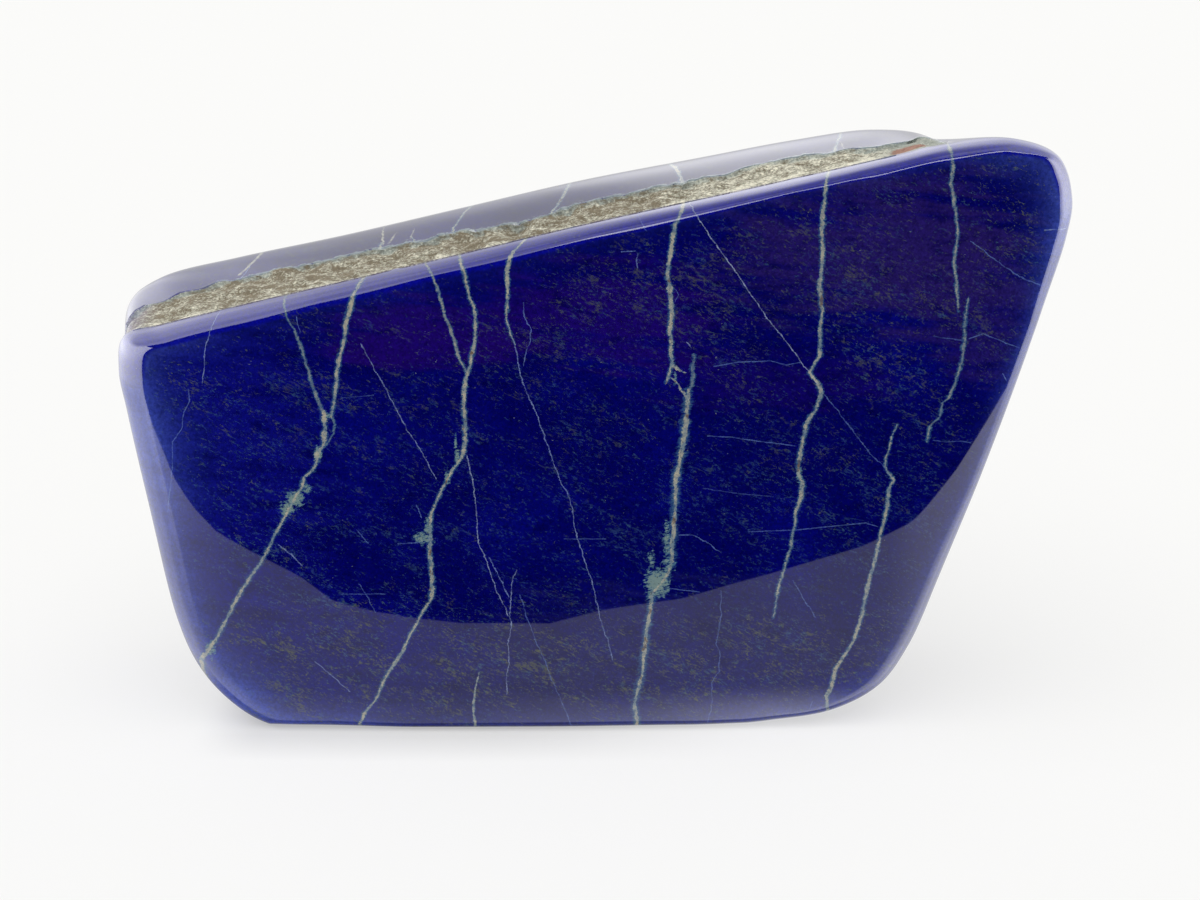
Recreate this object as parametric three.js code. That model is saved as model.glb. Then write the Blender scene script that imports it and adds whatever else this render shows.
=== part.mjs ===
// A polished freeform of lapis lazuli that stands on a small flat cut.
// Millimetres, +Z up, the wide polished face looks along -Y, the origin is under the middle of the stone.
//
// The stone is one closed skin. Every point of it lies on a ray that leaves the stone's axis, a line
// along Y. Going round the axis, the rays follow two outlines drawn in the XZ plane: one of the front lobe
// and one of the rear lobe, which stands a little to the left. Going from front to back, the rows of the
// skin run over the front face, its rounded edge, the side wall, the rear rounded edge and the back face.

import * as THREE from 'three';

// The axis of the rays, x and z.
const axis = { x: -6, z: 88 };

// Outline of the front lobe, x and z, anticlockwise from the base. Points below 0 are cut off by the base.
const frontOutline = [
  [19, -3], [45, -0.6], [63, 0.6], [85, 4.2], [100, 12.5], [109, 26], [118.5, 51.5], [135.3, 101],
  [147.5, 140.5], [153.8, 162], [155, 174], [150, 186.5], [136, 191.8], [117, 190.8], [94, 186],
  [50, 176.5], [1, 166.1], [-39, 156.7], [-95, 143.7], [-135, 133.8], [-147, 130], [-149, 120],
  [-147.2, 107], [-142.2, 77], [-134.8, 36.5], [-129, 21], [-121, 9.8], [-111, 2.2], [-100, -1.4],
  [-71, -3],
];

// Outline of the rear lobe.
const rearOutline = [
  [19, -3], [43, -1], [63, 3], [79, 17], [90, 38], [103, 72], [117, 108], [127, 140], [131.5, 161],
  [128, 178], [115, 187.6], [97, 189.6], [72, 186.2], [39, 179.9], [-1, 172.2], [-41, 163],
  [-82, 153.6], [-119, 146], [-144, 139.8], [-153.6, 133], [-155, 122], [-152.5, 100], [-148, 70],
  [-141, 41], [-132, 18], [-119, 4], [-101, -1], [-61, -3],
];

// The two faces: y at the foot of the axis, how far they lean back per mm of height, where the middle of
// their low crown is, and its radii along X and along Z, which are negative where it stands out along +Y.
const frontFace = { y: -43, lean: 0.07, middleX: -35, radiusX: 2500, radiusZ: 2000 };
const backFace = { y: 37.5, lean: 0.03, middleX: 0, radiusX: -2200, radiusZ: -1800 };

// Rounded front edge by direction in degrees from +X: [direction, width seen from the front, depth on Y].
const frontEdge = [
  [0, 4.6, 10], [17, 4.8, 9.5], [24, 6.4, 9.5], [28, 6, 9.5], [31, 4.9, 9], [33.4, 3.3, 8.5],
  [36, 5.2, 8.5], [39, 7, 9.2], [43, 6.7, 10], [47, 5.1, 10], [52, 4.1, 10.3], [70, 4, 10.5],
  [85, 3.4, 10.5], [105, 3.6, 10.5], [121, 3.4, 10.5], [143, 5.1, 10], [155, 7.4, 10.4], [166, 10.2, 12],
  [190, 10, 12],
  [213, 10, 10], [225, 6, 8], [240, 4, 6], [265, 4, 6], [295, 4.5, 7], [312, 6, 10], [328, 7, 11],
  [345, 6, 11],
];
const backEdge = { width: 12, depth: 16 };

// The rough strip that was left unpolished on the top, behind the front edge. Its rear border wanders: each
// point gives x and the share of the wall's depth that the strip takes up. The strip ends at x = right and
// at z = foot on the left end, and fades out over a short length at both.
const stripBorder = [
  [-155, 0.42], [-140, 0.5], [-119, 0.54], [-96, 0.55], [-61, 0.5], [-36, 0.46], [-18, 0.4], [-1, 0.47],
  [44, 0.48], [59, 0.53], [77, 0.5], [94, 0.43], [105, 0.46], [111, 0.7], [120, 0.82],
];
const strip = { right: 120, foot: 112, fade: 8, depth: 1.5 };

// The strip's lumps are a few long waves, each shorter and lower than the one before and turned from it.
const waves = {
  count: 4, height: 0.5, length: 17, shorter: 0.78, lower: 0.85, heading: 0.5, turn: 2.4, lag: 1.7,
};

// How finely the skin is divided.
const columns = 150;
const topDensity = 2.2;
const cornerLength = 28;
const samplesPerSpan = 24;
const faceRows = [0.4, 0.75, 1];
const edgeRows = [0.25, 0.5, 0.75, 1];
const stripRows = [0.06, 0.24, 0.42, 0.6, 0.78, 0.94, 1];
const ridgeRows = [0.2, 0.4, 0.6, 0.8, 1];

const fullTurn = 2 * Math.PI;

function mix(a, b, share) {
  return a + (b - a) * share;
}

function smooth(share) {
  const s = Math.min(Math.max(share, 0), 1);
  return s * s * (3 - 2 * s);
}

// Reading of a sorted list of keys [place, value, ...] at one place, for one of its columns. ease shapes
// the way from one key to the next.
function readKeys(keys, place, column, ease = (share) => share) {
  const next = keys.findIndex((key) => key[0] >= place);
  if (next === 0) return keys[0][column];
  if (next < 0) return keys[keys.length - 1][column];
  const [a, b] = [keys[next - 1], keys[next]];
  return mix(a[column], b[column], ease((place - a[0]) / (b[0] - a[0])));
}

// The same for keys by direction, which close on themselves after 360 degrees, without a kink at any key.
function readRound(keys, direction, column) {
  const first = keys[0];
  const closed = [...keys, [360 + first[0], ...first.slice(1)]];
  const degrees = ((direction * 360) / fullTurn + 360) % 360;
  return readKeys(closed, degrees, column, smooth);
}

// A smooth closed curve through an outline's points.
function smoothLoop(outline) {
  const points = outline.map(([x, z]) => new THREE.Vector3(x, 0, z));
  const curve = new THREE.CatmullRomCurve3(points, true, 'centripetal');
  const count = outline.length * samplesPerSpan;
  const loop = Array.from({ length: count }, (unused, i) => curve.getPoint(i / count));
  return loop.map(({ x, z }) => new THREE.Vector3(x, 0, Math.max(z, 0)));
}

function directionOf(point) {
  const angle = Math.atan2(point.z - axis.z, point.x - axis.x);
  return (angle + fullTurn) % fullTurn;
}

// The distance from the axis to an outline, as a function of direction.
function outlineReach(outline) {
  const keys = smoothLoop(outline)
    .map((point) => [directionOf(point), Math.hypot(point.x - axis.x, point.z - axis.z)])
    .sort((a, b) => a[0] - b[0]);
  const first = keys[0];
  const last = keys[keys.length - 1];
  const closed = [[last[0] - fullTurn, last[1]], ...keys, [first[0] + fullTurn, first[1]]];
  return (direction) => readKeys(closed, direction, 1);
}

// Directions of the columns: evenly spread along the front outline, closer on the top and at the corners.
function columnDirections() {
  const loop = smoothLoop(frontOutline);
  const weights = loop.map((point, i) => {
    const before = loop[(i + loop.length - 1) % loop.length];
    const after = loop[(i + 1) % loop.length];
    const step = after.clone().sub(point);
    const turn = step.angleTo(point.clone().sub(before));
    const onTop = point.z > strip.foot && point.x < strip.right;
    return step.length() * (onTop ? topDensity : 1) + cornerLength * turn;
  });
  const total = weights.reduce((sum, weight) => sum + weight, 0);
  const directions = [];
  let walked = 0;
  loop.forEach((point, i) => {
    if (walked >= (directions.length * total) / columns) directions.push(directionOf(point));
    walked += weights[i];
  });
  return directions;
}

// Height of the lumps of the rough strip at a place seen from above.
function lumps(x, y) {
  let height = 0;
  for (let i = 0; i < waves.count; i += 1) {
    const heading = waves.heading + waves.turn * i;
    const along = x * Math.cos(heading) + y * Math.sin(heading);
    const passed = along / (waves.length * waves.shorter ** i);
    height += waves.height * waves.lower ** i * Math.sin(fullTurn * passed + waves.lag * i);
  }
  return height;
}

// 1 on the part of the top that was left rough, 0 where the wall is polished.
function roughShare(x, z) {
  const foot = smooth((z - strip.foot) / strip.fade);
  const end = smooth((strip.right - x) / strip.fade);
  return foot * end;
}

const frontReach = outlineReach(frontOutline);
const rearReach = outlineReach(rearOutline);

// A point at a direction and a distance from the axis, cut off by the base.
function place(direction, distance, depth) {
  const x = axis.x + distance * Math.cos(direction);
  const z = Math.max(axis.z + distance * Math.sin(direction), 0);
  return new THREE.Vector3(x, depth(x, z), z);
}

// Depth of a crowned face at a place seen from the front.
function faceDepth(face, x, z) {
  const crownX = (x - face.middleX) ** 2 / (2 * face.radiusX);
  const crownZ = (z - axis.z) ** 2 / (2 * face.radiusZ);
  return face.y + face.lean * z + crownX + crownZ;
}

const onFront = (x, z) => faceDepth(frontFace, x, z);
const onBack = (x, z) => faceDepth(backFace, x, z);

// One column of the skin from the front face to the back face, along one direction.
function column(direction) {
  const front = frontReach(direction);
  const rear = rearReach(direction);
  const width = readRound(frontEdge, direction, 1);
  const depth = readRound(frontEdge, direction, 2);
  const points = [];
  for (const share of faceRows) points.push(place(direction, share * (front - width), onFront));
  for (const share of edgeRows) {
    const turn = (share * fullTurn) / 4;
    const inset = width * (1 - Math.sin(turn));
    const set = depth * (1 - Math.cos(turn));
    points.push(place(direction, front - inset, (x, z) => onFront(x, z) + set));
  }
  points.push(...wall(direction, points[points.length - 1], rear));
  for (const share of edgeRows) {
    const turn = (share * fullTurn) / 4;
    const inset = backEdge.width * (1 - Math.cos(turn));
    const set = backEdge.depth * (1 - Math.sin(turn));
    points.push(place(direction, rear - inset, (x, z) => onBack(x, z) - set));
  }
  for (const share of faceRows.slice(0, -1).reverse()) {
    points.push(place(direction, share * (rear - backEdge.width), onBack));
  }
  return points;
}

// The wall between the two rounded edges, with the rough strip sunk into it on the top.
function wall(direction, lip, rear) {
  const front = Math.hypot(lip.x - axis.x, lip.z - axis.z);
  const end = place(direction, rear, (x, z) => onBack(x, z) - backEdge.depth);
  const border = readKeys(stripBorder, lip.x, 1);
  const rough = roughShare(lip.x, lip.z);
  const points = [];
  for (const share of stripRows) {
    const across = border * share;
    const y = mix(lip.y, end.y, across);
    const sunk = share < 1 ? rough * (strip.depth - lumps(lip.x, y)) : 0;
    points.push(place(direction, mix(front, rear, smooth(across)) - sunk, () => y));
  }
  for (const share of ridgeRows) {
    const across = mix(border, 1, share);
    points.push(place(direction, mix(front, rear, smooth(across)), () => mix(lip.y, end.y, across)));
  }
  return points;
}

// Joins the columns into one closed skin, with a fan of triangles at each end of the axis.
function stoneGeometry() {
  const skin = columnDirections().map(column);
  const rows = skin[0].length;
  const frontPole = place(0, 0, onFront);
  const backPole = place(0, 0, onBack);
  const points = [...skin.flat(), frontPole, backPole];
  const frontIndex = points.length - 2;
  const backIndex = points.length - 1;
  const triangles = [];
  for (let i = 0; i < skin.length; i += 1) {
    const here = i * rows;
    const next = ((i + 1) % skin.length) * rows;
    triangles.push(frontIndex, here, next);
    for (let j = 0; j < rows - 1; j += 1) {
      triangles.push(here + j, here + j + 1, next + j + 1);
      triangles.push(here + j, next + j + 1, next + j);
    }
    triangles.push(here + rows - 1, backIndex, next + rows - 1);
  }
  const geometry = new THREE.BufferGeometry().setFromPoints(points);
  geometry.setIndex(triangles);
  geometry.computeVertexNormals();
  return geometry;
}

const lapis = new THREE.MeshStandardMaterial({ color: 0x0a0a66, roughness: 0.12, metalness: 0 });

const stone = new THREE.Mesh(stoneGeometry(), lapis);
stone.name = 'lapis_stone';

const group = new THREE.Group();
group.add(stone);

export default group;
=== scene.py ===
import math
from functools import partialmethod
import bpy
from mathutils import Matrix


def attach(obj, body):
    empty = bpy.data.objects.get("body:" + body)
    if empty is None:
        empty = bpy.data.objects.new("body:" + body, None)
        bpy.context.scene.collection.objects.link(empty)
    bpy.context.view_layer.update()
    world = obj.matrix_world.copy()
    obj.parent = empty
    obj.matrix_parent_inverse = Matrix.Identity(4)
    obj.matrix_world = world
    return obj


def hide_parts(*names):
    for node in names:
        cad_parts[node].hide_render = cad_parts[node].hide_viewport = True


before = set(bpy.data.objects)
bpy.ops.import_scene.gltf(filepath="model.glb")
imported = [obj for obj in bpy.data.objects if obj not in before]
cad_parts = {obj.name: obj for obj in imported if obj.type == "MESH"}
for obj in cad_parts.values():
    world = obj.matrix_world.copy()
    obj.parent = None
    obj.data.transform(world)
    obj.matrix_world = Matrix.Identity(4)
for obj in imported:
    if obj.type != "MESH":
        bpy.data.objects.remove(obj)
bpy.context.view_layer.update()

from types import SimpleNamespace
import bpy
import numpy as np

mm = .001
fullTurn = 2 * math.pi

# The stone's form in millimetres. Each point of its skin is on a ray that leaves the axis, a line along Y.
stoneForm = {
    "axis": (-6, 88),
    "frontOutline": [
        (19, -3), (45, -.6), (63, .6), (85, 4.2), (100, 12.5), (109, 26), (118.5, 51.5), (135.3, 101),
        (147.5, 140.5), (153.8, 162), (155, 174), (150, 186.5), (136, 191.8), (117, 190.8), (94, 186),
        (50, 176.5), (1, 166.1), (-39, 156.7), (-95, 143.7), (-135, 133.8), (-147, 130), (-149, 120),
        (-147.2, 107), (-142.2, 77), (-134.8, 36.5), (-129, 21), (-121, 9.8), (-111, 2.2), (-100, -1.4),
        (-71, -3)],
    "rearOutline": [
        (19, -3), (43, -1), (63, 3), (79, 17), (90, 38), (103, 72), (117, 108), (127, 140), (131.5, 161),
        (128, 178), (115, 187.6), (97, 189.6), (72, 186.2), (39, 179.9), (-1, 172.2), (-41, 163),
        (-82, 153.6), (-119, 146), (-144, 139.8), (-153.6, 133), (-155, 122), (-152.5, 100), (-148, 70),
        (-141, 41), (-132, 18), (-119, 4), (-101, -1), (-61, -3)],
    "frontFace": {"y": -43, "lean": .07, "middleX": -35, "radiusX": 2500, "radiusZ": 2000},
    "backFace": {"y": 37.5, "lean": .03, "middleX": 0, "radiusX": -2200, "radiusZ": -1800},
    # direction in degrees from +X, width seen from the front, depth along Y
    "frontEdge": [
        (0, 4.6, 10), (17, 4.8, 9.5), (24, 6.4, 9.5), (28, 6, 9.5), (31, 4.9, 9), (33.4, 3.3, 8.5),
        (36, 5.2, 8.5), (39, 7, 9.2), (43, 6.7, 10), (47, 5.1, 10), (52, 4.1, 10.3), (70, 4, 10.5),
        (85, 3.4, 10.5), (105, 3.6, 10.5), (121, 3.4, 10.5), (143, 5.1, 10), (155, 7.4, 10.4),
        (166, 10.2, 12), (190, 10, 12), (213, 10, 10), (225, 6, 8), (240, 4, 6), (265, 4, 6), (295, 4.5, 7),
        (312, 6, 10), (328, 7, 11), (345, 6, 11)],
    "backEdge": (12, 16),
    # columns of the skin, how much denser they are on the top, and the length that a radian of turn is worth
    "columns": 880, "topDensity": 4.2, "cornerLength": 40,
    "samplesPerSpan": 24,
}

# The unpolished strip along the top, in millimetres. border is the share of the wall's depth that it takes.
roughStrip = {
    "border": [
        (-155, .42), (-140, .5), (-119, .54), (-96, .55), (-61, .5), (-36, .46), (-18, .4), (-1, .47),
        (44, .48), (59, .53), (77, .5), (94, .43), (105, .46), (111, .7), (120, .82)],
    "right": 120, "foot": 112, "fade": 8, "depth": 1.5,
    "waves": {"count": 4, "height": .5, "length": 17, "shorter": .78, "lower": .85,
              "heading": .5, "turn": 2.4, "lag": 1.7},
    "borderWander": .035, "wanderLong": 7, "wanderShort": 2.3,
    # shares of the strip's width over which its floor drops at the lip and climbs again at the border
    "stepIn": .035, "stepOut": .03,
    "clodSize": 4.2, "clodHeight": .5,
    "grainSize": 1.25, "grainHeight": .24,
}

# Painted light: a brighter blue along the front face's rim, where the bevels catch more light. Direction in
# degrees from +X, strength, reach in millimetres.
paintedRimLight = [
    (0, .45, 1.6), (8, .5, 2), (18, .65, 2.2), (27, 1, 4.5), (34, .9, 4.5), (39, .25, 3), (50, .12, 3),
    (90, .08, 3), (110, .06, 5), (155, .1, 5), (165, .8, 5), (173, .95, 6), (182, .9, 5), (192, .5, 3.5),
    (206, .7, 4), (216, 1, 6), (228, .5, 5), (242, .25, 4), (285, .22, 3.5), (300, .35, 4), (315, .5, 4),
    (335, .35, 2.5)]


# the value at a share of the way from a to b
def mix(a, b, share):
    return a + (b - a) * share


# 3 times the square less 2 times the cube of a share held between 0 and 1: it starts and ends level
def smooth(share):
    s = np.clip(share, 0, 1)
    return s * s * (3 - 2 * s)


# closed curve through the points: on each span, a cubic whose end slopes come from the neighbouring points,
# weighted by the square roots of the distances between them
def smoothLoop(points, samplesPerSpan):
    b = np.array(points, float)
    a, c, d = np.roll(b, 1, 0), np.roll(b, -1, 0), np.roll(b, -2, 0)
    spanOf = lambda p, q: np.sqrt(np.hypot(*(q - p).T))[:, None]
    ab, bc, cd = spanOf(a, b), spanOf(b, c), spanOf(c, d)
    slopeB = ((b - a) / ab - (c - a) / (ab + bc) + (c - b) / bc) * bc
    slopeC = ((c - b) / bc - (d - b) / (bc + cd) + (d - c) / cd) * bc
    t = np.linspace(0, 1, samplesPerSpan, endpoint=False)[None, :, None]
    b, c, slopeB, slopeC = (v[:, None] for v in (b, c, slopeB, slopeC))
    loop = (b * (2 * t**3 - 3 * t**2 + 1) + slopeB * (t**3 - 2 * t**2 + t)
            + c * (3 * t**2 - 2 * t**3) + slopeC * (t**3 - t**2)).reshape(-1, 2)
    loop[:, 1] = np.maximum(loop[:, 1], 0)
    return loop


# angle of each point round the axis, from +X
def directionOf(points, axis):
    return np.arctan2(points[:, 1] - axis[1], points[:, 0] - axis[0]) % fullTurn


# distance from the axis to an outline in each direction, read from its smooth loop
def outlineReach(points, directions, form):
    loop = smoothLoop(points, form["samplesPerSpan"])
    angles = directionOf(loop, form["axis"])
    reach = np.hypot(loop[:, 0] - form["axis"][0], loop[:, 1] - form["axis"][1])
    order = np.argsort(angles)
    return np.interp(directions, angles[order], reach[order], period=fullTurn)


# directions at equal steps of walked length along the front outline, where top and corners count more
def columnDirections(form, strip):
    loop = smoothLoop(form["frontOutline"], form["samplesPerSpan"])
    step = np.roll(loop, -1, 0) - loop
    heading = np.unwrap(np.arctan2(step[:, 1], step[:, 0]))
    turn = np.abs(np.diff(heading, prepend=heading[-1] - fullTurn))
    onTop = (loop[:, 1] > strip["foot"]) & (loop[:, 0] < strip["right"] + 4)
    weight = np.hypot(*step.T) * np.where(onTop, form["topDensity"], 1) + form["cornerLength"] * turn
    walked = np.concatenate([[0], np.cumsum(weight)])
    wanted = np.linspace(0, walked[-1], form["columns"], endpoint=False)
    closed = np.concatenate([loop, loop[:1]])
    x = np.interp(wanted, walked, closed[:, 0])
    z = np.interp(wanted, walked, closed[:, 1])
    return directionOf(np.stack([x, z], 1), form["axis"])


# value at a direction between keys by degrees, eased so that no key shows as a kink
def readRound(keys, directions, column):
    table = np.array(keys, float)
    degrees = np.degrees(directions) % 360
    nextKey = np.searchsorted(table[:, 0], degrees, side="right") % len(table)
    start, end = table[nextKey - 1], table[nextKey]
    span = (end[:, 0] - start[:, 0]) % 360
    share = ((degrees - start[:, 0]) % 360) / span
    return mix(start[:, column], end[:, column], smooth(share))


# y of a crowned face: it leans back with height and falls away by the square of the distance from its middle
def faceDepth(face, form, x, z):
    crownX = (x - face["middleX"]) ** 2 / (2 * face["radiusX"])
    crownZ = (z - form["axis"][1]) ** 2 / (2 * face["radiusZ"])
    return face["y"] + face["lean"] * z + crownX + crownZ


# a repeatable number from 0 to 1 for each whole place: the fraction of a large multiple of a sine
def chance(i, j, salt):
    return np.modf(np.abs(np.sin(i * 127.1 + j * 311.7 + salt * 74.7)) * 43758.5453)[0]


# value noise from -1 to 1: chance at the four corners of a cell, blended with eased weights
def softNoise(x, y, size, salt):
    u, v = x / size, y / size
    i, j = np.floor(u), np.floor(v)
    s, t = smooth(u - i), smooth(v - j)
    low = mix(chance(i, j, salt), chance(i + 1, j, salt), s)
    high = mix(chance(i, j + 1, salt), chance(i + 1, j + 1, salt), s)
    return 2 * mix(low, high, t) - 1


# grains: each cell holds one jittered centre; a point takes the dome and the own height of the nearest one
def grains(x, y, size, salt):
    u, v = x / size, y / size
    nearest = np.full(u.shape, 9.0)
    height = np.zeros(u.shape)
    for di in (-1, 0, 1):
        for dj in (-1, 0, 1):
            i, j = np.floor(u) + di, np.floor(v) + dj
            away = np.hypot(u - i - chance(i, j, salt), v - j - chance(i, j, salt + 1))
            closer = away < nearest
            nearest = np.where(closer, away, nearest)
            height = np.where(closer, chance(i, j, salt + 2), height)
    return 1.2 * height - .6 + .7 * (.5 - np.minimum(nearest, 1))


# lumps of the strip: long crossing waves, then clods and grains on them
def lumps(x, y, strip):
    waves = strip["waves"]
    height = np.zeros(x.shape)
    for i in range(waves["count"]):
        heading = waves["heading"] + waves["turn"] * i
        along = x * math.cos(heading) + y * math.sin(heading)
        passed = along / (waves["length"] * waves["shorter"] ** i)
        height += waves["height"] * waves["lower"] ** i * np.sin(fullTurn * passed + waves["lag"] * i)
    height += strip["clodHeight"] * softNoise(x + .6 * y, y, strip["clodSize"], 3)
    height += .5 * strip["clodHeight"] * softNoise(x, y - .4 * x, strip["clodSize"] * .45, 5)
    return height + strip["grainHeight"] * grains(x, y, strip["grainSize"], 11)


# The skin as rows from the front pole to the back pole, each row one round of columns: x, y, z, how rough
# the stone is there, how far behind the strip's rear border and the lip and how far inside the rim it lies,
# and how strong the painted rim light is.
def stoneRows(form, strip):
    axisX, axisZ = form["axis"]
    directions = columnDirections(form, strip)
    cosine, sine = np.cos(directions), np.sin(directions)
    frontReach = outlineReach(form["frontOutline"], directions, form)
    rearReach = outlineReach(form["rearOutline"], directions, form)
    edgeWidth, edgeDepth = (readRound(form["frontEdge"], directions, column) for column in (1, 2))
    paintedRimStrength, paintedRimReach = (readRound(paintedRimLight, directions, column) for column in (1, 2))
    backWidth, backDepth = form["backEdge"]
    onFront = lambda x, z: faceDepth(form["frontFace"], form, x, z)
    onBack = lambda x, z: faceDepth(form["backFace"], form, x, z)
    faceShares = [.2, .4, .6, .78, .9, .965, .99, .9975, 1]
    edgeShares = [.03, .08, .16, .26, .38, .5, .62, .74, .86, 1]
    farOff, deepInside = 50, 9  # stand for nowhere near the strip and nowhere near the rim
    rimFade = 5  # millimetres over which the rim's painted light fades on the wall
    rows = []

    def place(reach, depth):
        x = axisX + reach * cosine
        z = np.maximum(axisZ + reach * sine, 0)
        return x, depth(x, z), z

    def put(reach, depth, rough=0, behind=-farOff, past=-farOff, inside=0):
        x, y, z = place(reach, depth)
        rows.append(np.stack(np.broadcast_arrays(x, y, z, rough, behind, past, inside, paintedRimStrength), 1))

    for share in faceShares:
        reach = frontReach - edgeWidth
        put(share * reach, onFront, inside=(1 - share) * reach / paintedRimReach)
    for share in edgeShares:
        turn = share * math.pi / 2
        put(frontReach - edgeWidth * (1 - math.sin(turn)),
            lambda x, z: onFront(x, z) + edgeDepth * (1 - math.cos(turn)))

    # the wall, with the strip sunk into it on the top
    lipX, lipY, lipZ = rows[-1].T[:3]
    lipReach = np.hypot(lipX - axisX, lipZ - axisZ)
    endY = place(rearReach, lambda x, z: onBack(x, z) - backDepth)[1]
    wallDepth = endY - lipY
    roughHere = smooth((lipZ - strip["foot"]) / strip["fade"])
    roughHere = roughHere * smooth((strip["right"] - lipX) / strip["fade"])
    border = np.interp(lipX, *np.array(strip["border"], float).T)
    along = np.cumsum(np.hypot(np.diff(lipX, prepend=lipX[0]), np.diff(lipZ, prepend=lipZ[0])))
    wander = softNoise(along, 0 * along, strip["wanderLong"], 21)
    wander += .6 * softNoise(along, 0 * along, strip["wanderShort"], 23)
    border = border + strip["borderWander"] * wander * roughHere
    stripShares = np.concatenate([[.012, .035], np.linspace(.06, .96, 46), [.985, 1]])
    for share in stripShares:
        across = border * share
        y = mix(lipY, endY, across)
        step = smooth(share / strip["stepIn"]) * smooth((1 - share) / strip["stepOut"])
        sunk = roughHere * step * (strip["depth"] - lumps(lipX, y, strip))
        put(mix(lipReach, rearReach, smooth(across)) - sunk, lambda x, z: y, roughHere * (share < 1),
            (across - border) * wallDepth, across * wallDepth, across * wallDepth / rimFade)
    for share in np.concatenate([[.008, .03], np.linspace(0, 1, 13)[1:]]):
        across = mix(border, 1, share)
        y = mix(lipY, endY, across)
        put(mix(lipReach, rearReach, smooth(across)), lambda x, z: y, 0,
            np.where(roughHere > .02, (across - border) * wallDepth, farOff), across * wallDepth,
            across * wallDepth / rimFade)
    for share in edgeShares[::-1][1:] + [0]:
        turn = (1 - share) * math.pi / 2
        put(rearReach - backWidth * (1 - math.cos(turn)),
            lambda x, z: onBack(x, z) - backDepth * (1 - math.sin(turn)), 0, farOff, inside=deepInside)
    for share in faceShares[::-1][1:]:
        put(share * (rearReach - backWidth), onBack, 0, farOff, inside=deepInside)
    poles = [(axisX, depth(axisX, axisZ), axisZ) for depth in (onFront, onBack)]
    return np.array(rows), np.array(poles)


# The rows joined by quads, a fan at each pole, and the values that the material reads.
def buildStone(form, strip):
    rows, poles = stoneRows(form, strip)
    rowCount, columnCount = rows.shape[:2]
    corners = np.concatenate([rows[:, :, :3].reshape(-1, 3), poles]) * mm
    index = np.arange(rowCount * columnCount).reshape(rowCount, columnCount)
    right = np.roll(index, -1, 1)
    quads = np.stack([index[:-1], index[1:], right[1:], right[:-1]], -1).reshape(-1, 4)
    frontPole, backPole = len(corners) - 2, len(corners) - 1
    frontFan = np.stack([np.full(columnCount, frontPole), index[0], right[0]], -1)
    backFan = np.stack([index[-1], np.full(columnCount, backPole), right[-1]], -1)
    mesh = bpy.data.meshes.new("lapisSkin")
    mesh.from_pydata(corners.tolist(), [], quads.tolist() + frontFan.tolist() + backFan.tolist())
    mesh.polygons.foreach_set("use_smooth", np.ones(len(mesh.polygons), bool))
    for column, name in enumerate(("rough", "behindStrip", "pastLip", "insideRim", "paintedRimShare"), 3):
        values = np.concatenate([rows[:, :, column].ravel(), [rows[0, 0, column], rows[-1, 0, column]]])
        mesh.attributes.new(name, "FLOAT", "POINT").data.foreach_set("value", values.astype(np.float32))
    mesh.update()
    stone = bpy.data.objects.new("polished_lapis", mesh)
    bpy.context.collection.objects.link(stone)
    print("stone:", len(mesh.vertices), "corners,", len(quads) * 2 + 2 * columnCount, "triangles")
    return stone


stone = buildStone(stoneForm, roughStrip)


# sRGB colour from 0 to 255 as the linear colour that a socket takes: the power 2.4, straight near black
def tint(red, green, blue):
    parts = [v / 255 for v in (red, green, blue)]
    return [p / 12.92 if p <= .04045 else ((p + .055) / 1.055) ** 2.4 for p in parts] + [1.0]


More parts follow.
